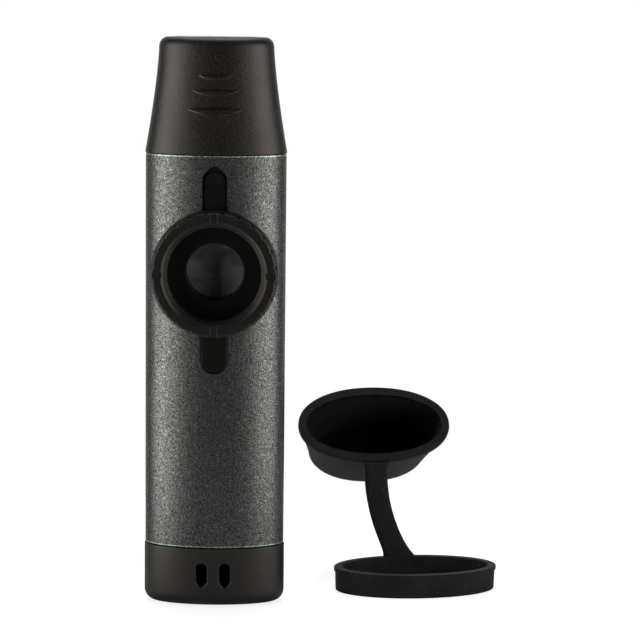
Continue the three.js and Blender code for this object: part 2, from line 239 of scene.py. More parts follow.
class Nodes:
    """A node tree that is filled by adding nodes by type and joining their sockets."""

    def __init__(self, tree):
        self.tree = tree

    def node(self, kind, settings=None, sockets=None, output=0):
        """Adds one node: its settings first, then the values or wires of its sockets."""
        node = self.tree.nodes.new(kind)
        for name, value in (settings or {}).items():
            setattr(node, name, value)
        for name, value in (sockets or {}).items():
            self.join(node.inputs[name], value)
        return Wire(self, node.outputs[output])

    def join(self, socket, value):
        """Wires a socket or sets its value; a colour of three parts is made opaque."""
        if isinstance(value, Wire):
            self.tree.links.new(value.socket, socket)
        elif socket.type == "RGBA" and len(value) == 3:
            socket.default_value = (*value, 1)
        else:
            socket.default_value = value

    def mix(self, share, first, second):
        """A colour between two colours."""
        sockets = {MIX_SHARE: share, MIX_COLOURS[0]: first, MIX_COLOURS[1]: second}
        return self.node("ShaderNodeMix", {"data_type": "RGBA"}, sockets, MIX_COLOUR_OUT)

    def mix_numbers(self, share, first, second):
        """A number between two numbers."""
        sockets = {MIX_SHARE: share, MIX_FLOATS[0]: first, MIX_FLOATS[1]: second}
        return self.node("ShaderNodeMix", {"data_type": "FLOAT"}, sockets, MIX_FLOAT_OUT)

    def seen_by_camera(self):
        """1 for what the camera sees directly, and 0 for what lights or is mirrored."""
        return self.node("ShaderNodeLightPath", output="Is Camera Ray")


class Finish(Nodes):
    """A material whose patterns lie in its piece's own coordinates."""

    def __init__(self, name, **constants):
        self.material = bpy.data.materials.new(name)
        self.material.use_nodes = True
        super().__init__(self.material.node_tree)
        self.shader = self.tree.nodes["Principled BSDF"]
        for socket, value in constants.items():
            self.feed(socket.replace("_", " ").title().replace("Ior", "IOR"), value)
        self.place = self.node("ShaderNodeTexCoord", output="Object")

    def feed(self, socket, value):
        """Sets or wires one socket of the surface shader."""
        self.join(self.shader.inputs[socket], value)

    def noise(self, size, detail=2.0, roughness=0.5, distortion=0.0):
        """Soft noise whose blotches are about that size, in metres."""
        sockets = {
            "Vector": self.place,
            "Scale": 1 / size,
            "Detail": detail,
            "Roughness": roughness,
            "Distortion": distortion,
        }
        return self.node("ShaderNodeTexNoise", {}, sockets)

    def cells(self, size, output="Distance"):
        """Random cells of about that size, in metres."""
        sockets = {"Vector": self.place, "Scale": 1 / size}
        return self.node("ShaderNodeTexVoronoi", {}, sockets, output)

    def cell_levels(self, size, channel):
        """One random level for each cell, from one channel of the cells' colours."""
        colour = self.cells(size, "Color")
        return self.node("ShaderNodeSeparateColor", {}, {"Color": colour}, channel)

    def bump(self, height, depth, strength):
        """Relief of that depth, in metres."""
        sockets = {"Height": height, "Distance": depth, "Strength": strength}
        return self.node("ShaderNodeBump", {}, sockets, "Normal")


def colours():
    return bpy.context.scene.whistle_colours


def shape():
    return bpy.context.scene.whistle_shape


def scaled(colour, factor):
    return tuple(min(1.0, c * factor) for c in colour)


def paint_finish(name):
    """Dark grey coat full of fine pale metal flakes, with a sprayed grain."""
    tones = colours()
    pale_flake = (0.85, 0.88, 0.82)
    f = Finish(name, metallic=0.9, coat_weight=0.1, coat_roughness=0.3)
    grain = f.noise(0.28 * MM, detail=1.0).above(0.38, 0.62)
    fine = f.cell_levels(0.2 * MM, "Green")
    shine = grain * 0.6 + fine * 0.4
    spark = f.cell_levels(0.26 * MM, "Blue").above(0.93, 1.0)
    coat = f.mix(shine, tuple(tones.paint), tuple(tones.flake))
    f.feed("Base Color", f.mix(spark * 0.22, coat, pale_flake))
    f.feed("Roughness", 0.43 - 0.08 * shine)
    f.feed("Normal", f.bump(grain, 0.04 * MM, 0.4))
    return f.material


def cut_metal_finish(name):
    """Bare cut edge of the aluminium tube."""
    dull, bright = (0.12, 0.14, 0.13), (0.62, 0.70, 0.64)
    f = Finish(name, metallic=1.0)
    scratch = f.noise(0.3 * MM, detail=3.0)
    f.feed("Base Color", f.mix(scratch.above(0.4, 0.6), dull, bright))
    f.feed("Roughness", 0.32 + 0.2 * scratch)
    return f.material


def plastic_finish(
    name, colour, roughness, grain_size=0.22 * MM, grain_depth=0.02 * MM, contrast=1.7, specular=0.48,
    **constants,
):
    """Moulded plastic with a fine spark-eroded grain, a slow drift of tone and a few specks of dust.

    The contrast is how much paler than the colour the high parts of the grain are.
    """
    warm_tint, dust_tone = (1.0, 0.93, 0.86), (0.35, 0.34, 0.32)
    f = Finish(name, specular_ior_level=specular, specular_tint=warm_tint, **constants)
    grain = f.noise(grain_size, detail=3.0, roughness=0.6)
    drift = f.noise(6 * MM, detail=2.0)
    tone = f.mix(drift, scaled(colour, 0.85), scaled(colour, 1.2))
    mottle = f.mix(grain.above(0.45, 0.7), tone, scaled(colour, contrast))
    dust = f.cells(2.4 * MM).above(0.035, 0.02)
    f.feed("Base Color", f.mix(dust * 0.5, mottle, dust_tone))
    f.feed("Roughness", roughness + 0.14 * (grain - 0.5) + 0.08 * (drift - 0.5))
    f.feed("Normal", f.bump(grain, grain_depth, 0.6))
    return f.material


def rubber_finish(name, darkness, specular):
    """Dull rubber with a bloomed skin, faint mould marks and dust."""
    tone = scaled(colours().rubber, darkness)
    dust_tone = (0.33, 0.31, 0.29)
    f = Finish(name, specular_ior_level=specular, sheen_weight=0.05, sheen_roughness=0.5)
    grain = f.noise(0.35 * MM, detail=4.0, roughness=0.65)
    bloom = f.noise(5 * MM, detail=3.0, roughness=0.6)
    speckle = grain.above(0.5, 0.72) * bloom.above(0.3, 0.6)
    coat = f.mix(bloom.above(0.4, 0.75) * 0.6 + speckle * 0.4, tone, scaled(tone, 4.5))
    dust = f.cells(1.5 * MM).above(0.07, 0.045)
    f.feed("Base Color", f.mix(dust * 0.5, coat, dust_tone))
    f.feed("Roughness", 0.6 + 0.18 * (grain - 0.5) + 0.12 * bloom)
    f.feed("Normal", f.bump(grain, 0.03 * MM, 0.55))
    return f.material


def film_finish(name):
    """Dark stretched film with soft folds and a faint haze. Its tone is set pale as painted light, standing
    in for the light from the front that reaches the film down its well.
    """
    tone = tuple(colours().film)
    f = Finish(name, specular_ior_level=0.3)
    haze = f.noise(4.5 * MM, detail=2.0, roughness=0.45, distortion=1.0)
    f.feed("Base Color", f.mix(haze.above(0.35, 0.65), scaled(tone, 0.75), scaled(tone, 1.4)))
    f.feed("Roughness", 0.42 + 0.2 * haze)
    fold = f.noise(3.2 * MM, detail=1.0, distortion=1.6)
    f.feed("Normal", f.bump(fold, 0.15 * MM, 0.5))
    return f.material


def bright_metal_finish(name, colour, roughness):
    """Turned or drawn bright metal with fine scratches."""
    f = Finish(name, metallic=1.0)
    scratch = f.noise(0.25 * MM, detail=4.0, roughness=0.7)
    f.feed("Base Color", f.mix(scratch, scaled(colour, 0.8), colour))
    f.feed("Roughness", roughness + 0.15 * scratch)
    return f.material


def floor_finish(name):
    """Matte pale sheet that glows a little to the camera only."""
    f = Finish(name, roughness=0.9, emission_strength=1.0)
    tone = f.noise(0.1, detail=1.0)
    f.feed("Base Color", f.mix(tone, (0.7, 0.7, 0.7), (0.74, 0.74, 0.74)))
    f.feed("Emission Color", f.mix(f.seen_by_camera(), (0.0, 0.0, 0.0), (0.75, 0.75, 0.75)))
    return f.material


def recipes():
    """For each finish: its maker, its material's name and what the maker is given."""
    tones = colours()
    return {
        "painted_tube": (paint_finish, "flake_paint", {}),
        "cut_metal": (cut_metal_finish, "cut_aluminium", {}),
        "moulded_plastic": (plastic_finish, "moulded_plastic", {
            "colour": tuple(tones.plastic), "roughness": 0.4, "specular": 0.6,
        }),
        "grained_plastic": (plastic_finish, "grained_plastic", {
            "colour": scaled(tones.plastic, 0.35), "roughness": 0.38, "specular": 0.58,
            "grain_size": 0.26 * MM, "grain_depth": 0.08 * MM, "contrast": 11.0,
        }),
        # A duller copy of the mouthpiece plastic for the thumb ribs, with its own grip grain: it looks
        # darker, as painted shade under each rib's top edge.
        "grip_plastic": (plastic_finish, "grip_plastic", {
            "colour": scaled(tones.plastic, 0.4), "roughness": 0.5, "specular": 0.16,
            "grain_size": 0.3 * MM, "grain_depth": 0.08 * MM, "contrast": 9.0,
        }),
        "polished_plastic": (plastic_finish, "polished_plastic", {
            "colour": scaled(tones.plastic, 1.5), "roughness": 0.12, "ior": 3.0,
        }),
        # Dark plastic: the insert's own colour, and painted shade where it covers the tongues and the tube's
        # slot walls.
        "dark_plastic": (plastic_finish, "dark_plastic", {
            "colour": scaled(tones.ring, 0.4), "roughness": 0.45, "specular": 0.25,
        }),
        "turret_plastic": (plastic_finish, "turret_plastic", {
            "colour": scaled(tones.ring, 1.2), "roughness": 0.42,
        }),
        "ring_plastic": (plastic_finish, "ring_plastic", {
            "colour": scaled(tones.ring, 1.3), "roughness": 0.36, "specular": 0.52,
            "grain_size": 0.3 * MM, "grain_depth": 0.015 * MM,
        }),
        "rubber": (rubber_finish, "cap_rubber", {"darkness": 0.7, "specular": 0.26}),
        # The cup's inside wears a darker, duller copy of the rubber: painted shade inside the deep cup.
        "rubber_inside": (rubber_finish, "cap_rubber_inside", {"darkness": 0.4, "specular": 0.03}),
        "film": (film_finish, "membrane_film", {}),
        "spring_steel": (bright_metal_finish, "spring_steel", {
            "colour": (0.45, 0.46, 0.47), "roughness": 0.25,
        }),
        "bare_aluminium": (bright_metal_finish, "bare_aluminium", {
            "colour": (0.70, 0.71, 0.72), "roughness": 0.3,
        }),
        "floor": (floor_finish, "pale_floor", {}),
    }


FINISHES = {}


def finish(slot):
    """The material of a finish, made once and shared by its pieces."""
    if slot not in FINISHES:
        maker, name, given = recipes()[slot]
        FINISHES[slot] = maker(name, **given)
    return FINISHES[slot]


# ---------------------------------------------------------------------------
# Surface building
# ---------------------------------------------------------------------------


def soften(profile, radius, steps=4, closed=False):
    """Rounds the corners of a profile of points.

    Each corner becomes a quadratic curve that starts and ends one radius away along its two sides, with
    one more point a little further off on either side to keep the flats flat. The radius is one length or
    one per point.
    """
    profile = np.asarray(profile, float)
    count = len(profile)
    radii = np.broadcast_to(np.asarray(radius, float), count)
    rounded = []
    for i in range(count):
        corner = profile[i]
        if not closed and i in (0, count - 1) or radii[i] <= 0:
            rounded.append(corner[None])
            continue
        before, after = profile[i - 1] - corner, profile[(i + 1) % count] - corner
        long_before, long_after = np.linalg.norm(before), np.linalg.norm(after)
        reach = min(radii[i], 0.38 * long_before, 0.38 * long_after)
        start, end = corner + before * reach / long_before, corner + after * reach / long_after
        t = np.linspace(0, 1, steps + 1)[:, None]
        curve = (1 - t) ** 2 * start + 2 * t * (1 - t) * corner + t ** 2 * end
        guard_in = start + 0.25 * (start - corner)
        guard_out = end + 0.25 * (end - corner)
        rounded.append(np.vstack([guard_in[None], curve, guard_out[None]]))
    return np.vstack(rounded)


def grid_faces(rows, columns, wrap_rows=False, wrap_columns=False):
    """Corner numbers of a grid's squares, joined round on itself where asked."""
    row = np.arange(rows if wrap_rows else rows - 1)
    column = np.arange(columns if wrap_columns else columns - 1)
    i, j = np.meshgrid(row, column, indexing="ij")
    i2, j2 = (i + 1) % rows, (j + 1) % columns
    corners = (i * columns + j, i * columns + j2, i2 * columns + j2, i2 * columns + j)
    return np.stack(corners, -1).reshape(-1, 4)


def sheet(points, wrap_rows=False, wrap_columns=False, material=0):
    """A grid of points, how it closes, and the number of the material of the sheet or of each square."""
    return {"points": points, "rows": wrap_rows, "columns": wrap_columns, "material": material}


WELD_DISTANCE = 0.002 * MM


def add_piece(name, sheets, slots, body=None, replaces=(), sharp=40):
    """Makes one object from grids, welds the points that coincide, and shades it smooth up to an angle."""
    points, faces, wears, start = [], [], [], 0
    for s in sheets:
        rows, columns = s["points"].shape[:2]
        squares = (rows - 1 + s["rows"], columns - 1 + s["columns"])
        points.append(s["points"].reshape(-1, 3))
        faces.append(grid_faces(rows, columns, s["rows"], s["columns"]) + start)
        wears.append(np.broadcast_to(s["material"], squares).ravel())
        start += rows * columns
    points, faces = np.vstack(points), np.vstack(faces)
    wears = np.concatenate(wears).astype(np.int32)
    mesh = bpy.data.meshes.new(name)
    mesh.vertices.add(len(points))
    mesh.vertices.foreach_set("co", points.astype(np.float32).ravel())
    mesh.loops.add(faces.size)
    mesh.loops.foreach_set("vertex_index", faces.astype(np.int32).ravel())
    mesh.polygons.add(len(faces))
    mesh.polygons.foreach_set("loop_start", np.arange(0, faces.size, 4, dtype=np.int32))
    mesh.polygons.foreach_set("material_index", wears)
    mesh.update(calc_edges=True)
    weld(mesh)
    mesh.shade_smooth()
    mesh.set_sharp_from_angle(angle=math.radians(sharp))
    for slot in slots:
        mesh.materials.append(finish(slot))
    obj = bpy.data.objects.new(name, mesh)
    bpy.context.scene.collection.objects.link(obj)
    if body:
        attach(obj, body)
    if replaces:
        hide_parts(*replaces)
    return obj


def weld(mesh):
    """Joins the points that two sheets share along a seam or at a pole."""
    work = bmesh.new()
    work.from_mesh(mesh)
    bmesh.ops.remove_doubles(work, verts=work.verts, dist=WELD_DISTANCE)
    work.to_mesh(mesh)
    work.free()


def around(count):
    """Even angles round a circle, the last one short of the first."""
    return np.linspace(0, TAU, count, endpoint=False)


def oval_grid(profile, angles, power=2.0):
    """An oval piece: x = wide * sin(angle), y = -deep * cos(angle), z = high, with angle 0 at the front.

    A power over 2 fills the oval's corners, as a superellipse's.
    """
    wide, deep, high = (np.asarray(profile)[:, k, None] for k in range(3))
    fill = (np.abs(np.sin(angles)) ** power + np.abs(np.cos(angles)) ** power) ** (-1 / power)
    x, y = wide * np.sin(angles) * fill, -deep * np.cos(angles) * fill
    return np.stack([x, y, np.broadcast_to(high, x.shape)], -1)


def turned_grid(profile, angles):
    """A turret piece: radius and stand-off turned about the axis that runs out of the whistle's front."""
    radius, out = (np.asarray(profile)[:, k, None] for k in range(2))
    x, z = radius * np.cos(angles), TURRET_Z + radius * np.sin(angles)
    return np.stack([x, np.broadcast_to(-out, x.shape), z], -1)


def inset(distance, high):
    """A profile point that lies a set distance inside the tube's outer oval."""
    return (TUBE_WIDE - distance, TUBE_DEEP - distance, high)


def quarter(steps, first=0):
    """Sines and cosines of a quarter turn, from the first step on."""
    angle = np.linspace(0, math.pi / 2, steps + 1)[first:]
    return np.sin(angle), np.cos(angle)


def outline_reach(inside, out_x, out_z):
    """Distance from a hole's centre to its outline along each ray, found by halving an interval."""
    far_off, halvings = 40 * MM, 40
    near, far = np.zeros_like(out_x), np.full_like(out_x, far_off)
    for _ in range(halvings):
        middle = (near + far) / 2
        within = inside(out_x * middle, out_z * middle)
        near, far = np.where(within, middle, near), np.where(within, far, middle)
    return near


FACE_ROWS, EDGE_ROWS = 15, 6  # points on each ray of a pierced wall, over a face and round an edge


def pierced_wall(outer, inner, centre, half, across, along, inside, edge):
    """The part of an oval wall round one hole that is drilled straight in from the front.

    Rays leave the hole's centre in the front view and end on the sides of a rectangle. On each ray a row
    of points runs over the outer face to the hole's outline, round its broken edge, through the wall,
    round the inner edge and back over the inner face. outer and inner are each face's (wide, deep), and
    inside tells which points lie in the hole, counted from its centre.
    """
    inner_margin = 0.3  # of the outer edge's radius
    side = np.ones_like(along[1:])
    rim_x = np.concatenate([across, side * half[0], across[::-1][1:], -side[1:] * half[0]])
    rim_z = np.concatenate([0 * across - half[1], along[1:], 0 * across[1:] + half[1], along[::-1][1:-1]])
    distance = np.hypot(rim_x, rim_z)
    reach = outline_reach(inside, rim_x / distance, rim_z / distance)
    edge_x, edge_z = rim_x / distance * reach, rim_z / distance * reach
    way_x, way_z = (np.roll(v, -1) - np.roll(v, 1) for v in (edge_x, edge_z))
    out_x, out_z = (v / np.hypot(way_x, way_z) for v in (way_z, -way_x))
    edge_x, rim_x = edge_x + centre[0], rim_x + centre[0]
    edge_z, rim_z = edge_z + centre[1], rim_z + centre[1]
    rim_angle = np.arcsin(np.clip(rim_x / outer[0], -1, 1))

    def on(face, x):
        return -face[1] * np.sqrt(np.clip(1 - (x / face[0]) ** 2, 0, 1))

    share = np.linspace(0, 1, FACE_ROWS)[:, None] ** 0.8
    faces = []
    for face, margin in ((outer, 1.0), (inner, inner_margin)):
        start_x = face[0] * np.sin(rim_angle)
        near_x, near_z = edge_x + out_x * edge * margin, edge_z + out_z * edge * margin
        x, z = start_x + (near_x - start_x) * share, rim_z + (near_z - rim_z) * share
        faces.append(np.stack([x, on(face, x), z], -1))
    turn, fall = quarter(EDGE_ROWS, first=1)
    rounds = []
    for face, size, way in ((outer, edge, 1), (inner, inner_margin * edge, -1)):
        back_off, depth = size * (1 - turn)[:, None], size * (1 - fall)[:, None]
        x, z = edge_x + out_x * back_off, edge_z + out_z * back_off
        rounds.append(np.stack([x, on(face, x) + way * depth, z], -1))
    return np.concatenate([faces[0], rounds[0], rounds[1][::-1], faces[1][::-1]])


def mirrored(values):
    """The values and their opposites, in rising order, with one zero."""
    values = np.asarray(values)
    return np.concatenate([-values[::-1], [0.0], values])


def walled_oval(front, heights, lower, upper, outer, inner, panels):
    """The sheets of an oval piece whose front wall holds pierced panels.

    lower and upper are the profiles under and over the panels' band; front is the x of the panels'
    columns and heights the z of their rows.
    """
    front_angle = np.arcsin(front / outer[0])
    back_columns = 150
    back_angle = np.linspace(front_angle[-1], TAU + front_angle[0], back_columns)
    full = np.concatenate([front_angle, back_angle[1:-1]])
    sheets = [sheet(oval_grid(profile, full), wrap_columns=True) for profile in (*lower, *upper)]
    for face, order in ((outer, 1), (inner, -1)):
        band = [(*face, high) for high in heights[::order]]
        sheets.append(sheet(oval_grid(band, back_angle)))
    return sheets + [sheet(panel, wrap_columns=True) for panel in panels]


# ---------------------------------------------------------------------------
# Tube
# ---------------------------------------------------------------------------

SLOT_UP = {"reach": 22.2 * MM, "half": 2.5 * MM, "power": 1.4}
SLOT_DOWN = {"reach": 21.0 * MM, "half": 2.8 * MM, "power": 2.0}
WINDOW_RADIUS = 12.3 * MM


def in_keyhole(x, z):
    """A round window with a slot above, whose end is a pointed arch, and a round-ended slot below."""
    reach, half, power = (np.where(z > 0, SLOT_UP[k], SLOT_DOWN[k]) for k in ("reach", "half", "power"))
    past = np.clip(np.abs(z) - (reach - half), 0, None)
    return (np.hypot(x, z) < WINDOW_RADIUS) | ((np.abs(x) / half) ** power + (past / half) ** power < 1)


class WHISTLE_OT_tube(bpy.types.Operator):
    """Make the oval painted tube with its window and slot"""

    bl_idname = "whistle.tube"
    bl_label = "Tube"

    def execute(self, context):
        edge, hole_edge, bare = shape().edge_round, 0.2 * MM, 0.3 * MM
        half = (13.9 * MM, 23.3 * MM)
        slot_sweep = [*np.arange(0.6, 9.1, 0.6), 9.8, 10.6, 11.4, 11.7, 11.9, 12.5, 13.1, 13.3, 13.7, 14.5]
        slot_columns = np.tan(np.radians(slot_sweep)) * half[1]
        front = np.concatenate([slot_columns, np.linspace(6.6 * MM, half[0], 12)])
        across = mirrored(front)
        along = mirrored(np.linspace(0, half[1], 40)[1:])
        outer = (TUBE_WIDE, TUBE_DEEP)
        inner = (TUBE_WIDE - WALL, TUBE_DEEP - WALL)
        panel = pierced_wall(outer, inner, (0, TURRET_Z), half, across, along, in_keyhole, hole_edge)
        low, high = TURRET_Z - half[1], TURRET_Z + half[1]
        foot = [
            inset(WALL, low),
            inset(WALL, TUBE_LOW.z),
            inset(0, TUBE_LOW.z),
            inset(0, TUBE_LOW.z + bare),
            inset(0, low),
        ]
        head = [
            inset(0, high),
            inset(0, TUBE_HIGH.z - bare),
            inset(0, TUBE_HIGH.z),
            inset(WALL, TUBE_HIGH.z),
            inset(WALL, high),
        ]
        profiles = ([soften(foot, edge)], [soften(head, edge)])
        foot_sheet, head_sheet, *others = walled_oval(
            across, TURRET_Z + along, *profiles, outer, inner, [panel]
        )
        middle, reach = (TUBE_HIGH.z + TUBE_LOW.z) / 2, (TUBE_HIGH.z - TUBE_LOW.z) / 2
        for end in (foot_sheet, head_sheet):
            heights = end["points"][:, :1, 2]
            past = np.abs((heights[1:] + heights[:-1]) / 2 - middle) - (reach - bare)
            end["material"] = (past > 0) * 1
        # The slot's walls and broken edges wear the dark plastic, painted shade round the slot.
        row = np.arange(len(panel) - 1)
        first, last = FACE_ROWS - 2, FACE_ROWS + 2 * EDGE_ROWS
        others[-1]["material"] = ((row > first) & (row < last))[:, None] * 2
        slots = ["painted_tube", "cut_metal", "dark_plastic"]
        tube = add_piece("tube_shell", [foot_sheet, head_sheet, *others], slots, "whistle", ["body_tube"])
        return {"FINISHED"}


# ---------------------------------------------------------------------------
# Mouthpiece
# ---------------------------------------------------------------------------

RIBS = (  # height, half width and drop, in millimetres
    (111.9, 3.4, 0.9),
    (108.8, 4.5, 1.15),
    (105.0, 5.6, 1.45),
)


def seal_groove(middle):
    """The four corners of a spigot's seal groove."""
    reach, deep = 1.0 * MM, 1.0 * MM
    return [
        inset(SPIGOT_INSET, middle - reach),
        inset(SPIGOT_INSET + deep, middle - reach),
        inset(SPIGOT_INSET + deep, middle + reach),
        inset(SPIGOT_INSET, middle + reach),
    ]


def raise_ribs(points):
    """Moves the front of the mouthpiece out along its oval's normal, and tells which points are on a rib.

    Each rib is full at its straight top edge and falls away to nothing at an arc below, which is deepest
    in the middle and meets the top edge at the rib's two ends.
    """
    top_step = 0.12  # of the drop, over which the top edge rises
    x, y, z = points[..., 0], points[..., 1], points[..., 2]
    rise = np.zeros_like(x)
    for height, half_width, drop in RIBS:
        span = np.clip(1 - (x / (half_width * MM)) ** 2, 0, None)
        below = (height * MM - z) / (drop * MM * np.maximum(span, 1e-6))
        step = np.clip(1 + below / top_step, 0, 1)
        rib = step * np.clip(1 - np.clip(below, 0, 1), 0, 1) ** 0.8 * np.minimum(1, 3 * span)
        rise = np.maximum(rise, np.where(y < 0, rib, 0))
    normal = np.stack([x / TUBE_WIDE ** 2, y / TUBE_DEEP ** 2], -1)
    normal /= np.linalg.norm(normal, axis=-1, keepdims=True)
    points[..., :2] += normal * (rise * shape().rib_rise)[..., None]
    return points, rise > 0.1


class WHISTLE_OT_mouthpiece(bpy.types.Operator):
    """Make the flared mouthpiece with its rounded lip, breath channel and thumb ribs"""

    bl_idname = "whistle.mouthpiece"
    bl_label = "Mouthpiece"

    def execute(self, context):
        edge = shape().edge_round
        base, top = TUBE_HIGH.z + SEAM, WHISTLE_TOP
        lip, lip_drop = 2.0 * MM, 0.8 * MM
        wide, deep = (11.95 * MM, 14.84 * MM), (6.05 * MM, 7.19 * MM)
        opening = (8.5 * MM, 3.3 * MM)
        shoulder = top - lip
        heights = np.concatenate([
            np.linspace(base, 103 * MM, 16),
            np.arange(103.15 * MM, 112.4 * MM, 0.12 * MM),  # close rows for the ribs
            np.linspace(112.6 * MM, shoulder, 8),
        ])
        share = ((shoulder - heights) / (shoulder - base)) ** 1.35
        wall = np.stack([
            wide[0] + (wide[1] - wide[0]) * share,
            deep[0] + (deep[1] - deep[0]) * share,
            heights,
        ], -1)
        rise, fall = quarter(9, first=1)
        over = 0.55 * (1 - fall)
        turn, back = quarter(5)
        into = 1 - 0.15 * (1 - turn)
        across = np.concatenate([over, into])
        drop = np.concatenate([lip * (1 - rise), lip_drop * (1 - back)])
        crown = np.stack([
            wide[0] + (opening[0] - wide[0]) * across,
            deep[0] + (opening[1] - deep[0]) * across,
            top - drop,
        ], -1)
        spigot_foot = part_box("mouthpiece")[0].z
        spigot = [
            inset(BORE_INSET, spigot_foot),
            inset(SPIGOT_INSET, spigot_foot),
            *seal_groove(middle_of("mouthpiece_seal").z),
            inset(SPIGOT_INSET, base),
            (wide[1], deep[1], base),
            tuple(wall[1]),
        ]
        channel = [(*opening, 101 * MM), inset(BORE_INSET, 94.6 * MM)]
        profile = np.vstack([soften(spigot, edge)[:-1], wall[1:], crown, channel])
        row = np.arange(len(profile))
        channel_row = len(profile) - len(channel)
        polished = (row >= channel_row - len(into) - 1) & (row < channel_row)
        body, ribbed = raise_ribs(oval_grid(profile, around(shape().sides)))
        # The ribs wear the duller grip plastic, painted shade under their top edges.
        wears = np.where(ribbed, 2, polished[:, None])
        slots = ["grained_plastic", "polished_plastic", "grip_plastic"]
        sheets = [sheet(body, True, True, wears)]
        piece = add_piece("mouthpiece_body", sheets, slots, "whistle", ["mouthpiece"])
        return {"FINISHED"}


# ---------------------------------------------------------------------------
# End cap
# ---------------------------------------------------------------------------

CORD_SLOT = {
    "half_width": 1.125 * MM,
    "half_height": 2.55 * MM,
    "spread": 2.45 * MM,
    "middle": 6.75 * MM,
}


def in_cord_slot(x, z):
    """Straight sides, a round top and a blunt pointed foot."""
    half, tall = CORD_SLOT["half_width"], CORD_SLOT["half_height"]
    power = 1.3
    over, under = (np.clip(way * z - (tall - half), 0, None) for way in (1, -1))
    return (np.hypot(x, over) < half) & (np.abs(x) ** power + under ** power < half ** power)


class WHISTLE_OT_end_cap(bpy.types.Operator):
    """Make the end cap with its round foot, two cord slots and spigot"""

    bl_idname = "whistle.end_cap"
    bl_label = "End Cap"

    def execute(self, context):
        edge, hole_edge = shape().edge_round, 0.3 * MM
        high_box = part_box("end_cap")[1]
        outer = (high_box.x, high_box.y)
        inner = (TUBE_WIDE - BORE_INSET, TUBE_DEEP - BORE_INSET)
        half = (CORD_SLOT["spread"], 3.45 * MM)
        sweep = np.radians([4, 8, 12, 16, 20, 24, 28, 32])
        across = mirrored(np.concatenate([np.tan(sweep) * half[1], [half[0]]]))
        along = mirrored(np.linspace(0, half[1], 16)[1:])
        centres = (-CORD_SLOT["spread"], CORD_SLOT["spread"])
        panels = [
            pierced_wall(outer, inner, (x, CORD_SLOT["middle"]), half, across, along, in_cord_slot, hole_edge)
            for x in centres
        ]
        front = np.concatenate([across + centres[0], (across + centres[1])[1:]])
        low, high = CORD_SLOT["middle"] - half[1], CORD_SLOT["middle"] + half[1]
        radius, floor = 2.5 * MM, 3.0 * MM
        seam = TUBE_LOW.z - SEAM
        rise, fall = quarter(10)
        drawn_in = radius * (1 - rise)
        foot = np.stack([outer[0] - drawn_in, outer[1] - drawn_in, radius * (1 - fall)], -1)
        flat = (0.96 * foot[0, 0], 0.93 * foot[0, 1], 0)
        under = np.vstack([[(0, 0, 0), flat], foot, [(*outer, low)]])
        cavity = [(*inner, low), (*inner, floor), (0, 0, floor)]
        crown = [
            (*outer, high),
            (*outer, seam),
            inset(SPIGOT_INSET, seam),
            *seal_groove(middle_of("end_cap_seal").z),
            inset(SPIGOT_INSET, high_box.z),
            (*inner, high_box.z),
            (*inner, high),
        ]
        heights = CORD_SLOT["middle"] + along
        sheets = walled_oval(front, heights, [under, cavity], [soften(crown, edge)], outer, inner, panels)
        cap = add_piece("end_cap_body", sheets, ["moulded_plastic"], "whistle", ["end_cap"])
        return {"FINISHED"}


# ---------------------------------------------------------------------------
# Turret
# ---------------------------------------------------------------------------


def saddle(radius, angles, clearance):
    """Stand-off of the tube's surface under a circle of that radius round the turret's axis."""
    x = radius * np.cos(angles)
    return (TUBE_DEEP + clearance) * np.sqrt(1 - (x / (TUBE_WIDE + clearance)) ** 2)


def tongue(reach, front, half_width, edge, sign):
    """A flat tongue with a round end: rings of its outline, shrunk to its spine over both of its faces.

    The sign is 1 for a tongue that points up and -1 for one that points down.
    """
    back = 6.05 * MM
    inner_end = 12.1 * MM
    arc = np.linspace(0, math.pi, 33)
    spine_end = reach - half_width

    def ring(width, out):
        straight = width * np.array([-1, -0.5, 0, 0.5, 1])
        x = np.concatenate([width * np.cos(arc), straight])
        z = np.concatenate([spine_end + width * np.sin(arc), np.full(5, inner_end + half_width - width)])
        return np.stack([x, np.full_like(x, -out), TURRET_Z + sign * z], -1)

    sine, cosine = quarter(4)
    rings = [ring(0, back), ring(half_width, back)]
    rings += [ring(half_width - edge * (1 - c), front - edge * (1 - s)) for s, c in zip(sine, cosine)]
    rings += [ring(half_width - 1.4 * edge, front), ring(0.5 * half_width, front), ring(0, front)]
    return np.array(rings)[:, ::sign]


